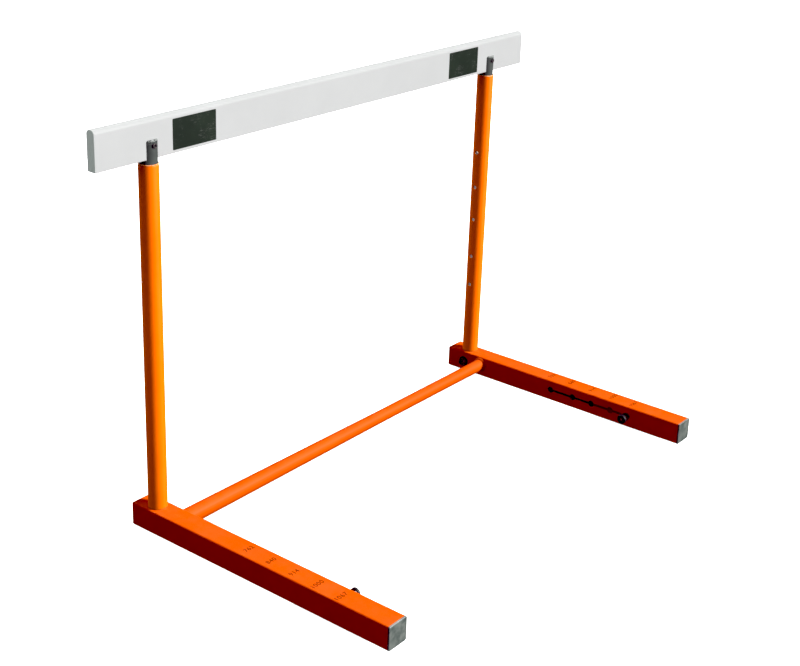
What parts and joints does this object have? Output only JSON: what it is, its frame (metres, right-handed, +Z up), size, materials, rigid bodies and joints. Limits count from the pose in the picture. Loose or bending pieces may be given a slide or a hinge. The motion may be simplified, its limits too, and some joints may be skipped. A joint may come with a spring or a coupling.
{
  "type": "track hurdle",
  "caption": "Athletics track hurdle: height-adjustable bar on sliding round uprights, with square-tube feet that hold sliding counterweights.",
  "frame": {"origin": "centre of the ground footprint", "axes": "+X along the bar to the right foot, +Y from the toes to the heels and uprights, +Z up"},
  "size_m": [1.19, 0.596, 0.762],
  "materials": {
    "orange_paint": "glossy powder coat",
    "grey_board": "satin",
    "dark_sheet": "matte sheet",
    "dark_steel": "dark, unpainted",
    "post_steel": "drawn tube",
    "black_plastic": "satin",
    "grey_plastic": "moulded",
    "black_bolt": "black oxide",
    "zinc_steel": "zinc plated",
    "spring_steel": "drawn wire and strip",
    "weight_paint": "painted casting"
  },
  "bodies": {
    "base_frame": {"left_foot_tube": "orange_paint", "right_foot_tube": "orange_paint", "left_heel_plate": "orange_paint", "right_heel_plate": "orange_paint", "left_toe_plug": "grey_plastic", "right_toe_plug": "grey_plastic", "left_inner_post": "post_steel", "right_inner_post": "post_steel", "left_post_spacer": "zinc_steel", "right_post_spacer": "zinc_steel", "left_post_bolt": "black_bolt", "right_post_bolt": "black_bolt", "left_post_washer": "black_bolt", "right_post_washer": "black_bolt", "left_post_nut": "zinc_steel", "right_post_nut": "zinc_steel", "left_button_spring": "spring_steel", "right_button_spring": "spring_steel", "brace_tube": "orange_paint"},
    "bar_assembly": {"top_bar": "grey_board", "left_dark_panel": "dark_sheet", "right_dark_panel": "dark_sheet", "left_outer_sleeve": "orange_paint", "right_outer_sleeve": "orange_paint", "left_bar_fork": "dark_steel", "right_bar_fork": "dark_steel", "left_bar_bolt": "black_bolt", "right_bar_bolt": "black_bolt", "left_bar_washer": "zinc_steel", "right_bar_washer": "zinc_steel", "left_bar_nut": "zinc_steel", "right_bar_nut": "zinc_steel"},
    "left_button": {"left_lock_button": "zinc_steel"},
    "left_weight": {"left_counterweight": "weight_paint", "left_plunger_spring": "spring_steel"},
    "left_plunger": {"left_knob_stem": "zinc_steel", "left_knob_head": "black_plastic", "left_knob_retainer": "zinc_steel"},
    "right_button": {"right_lock_button": "zinc_steel"},
    "right_weight": {"right_counterweight": "weight_paint", "right_plunger_spring": "spring_steel"},
    "right_plunger": {"right_knob_stem": "zinc_steel", "right_knob_head": "black_plastic", "right_knob_retainer": "zinc_steel"}
  },
  "joints": [
    {"name": "height_slide", "type": "slide", "parent": "base_frame", "child": "bar_assembly", "axis": [0, 0, 1], "range_m": [0, 0.305]},
    {"name": "left_lock_button", "type": "slide", "parent": "base_frame", "child": "left_button", "axis": [1, 0, 0], "range_m": [0, 0.0046], "stiffness_N_per_m": 3000, "springref_m": 0.0046, "deforming": ["left_button_spring"]},
    {"name": "left_weight_slide", "type": "slide", "parent": "base_frame", "child": "left_weight", "axis": [0, 1, 0], "range_m": [0, 0.192]},
    {"name": "left_plunger", "type": "slide", "parent": "left_weight", "child": "left_plunger", "axis": [-1, 0, 0], "range_m": [0, 0.004], "stiffness_N_per_m": 800, "springref_m": 0.012, "deforming": ["left_plunger_spring"]},
    {"name": "right_lock_button", "type": "slide", "parent": "base_frame", "child": "right_button", "axis": [-1, 0, 0], "range_m": [0, 0.0046], "stiffness_N_per_m": 3000, "springref_m": 0.0046, "deforming": ["right_button_spring"]},
    {"name": "right_weight_slide", "type": "slide", "parent": "base_frame", "child": "right_weight", "axis": [0, 1, 0], "range_m": [0, 0.192]},
    {"name": "right_plunger", "type": "slide", "parent": "right_weight", "child": "right_plunger", "axis": [1, 0, 0], "range_m": [0, 0.004], "stiffness_N_per_m": 800, "springref_m": 0.012, "deforming": ["right_plunger_spring"]}
  ]
}
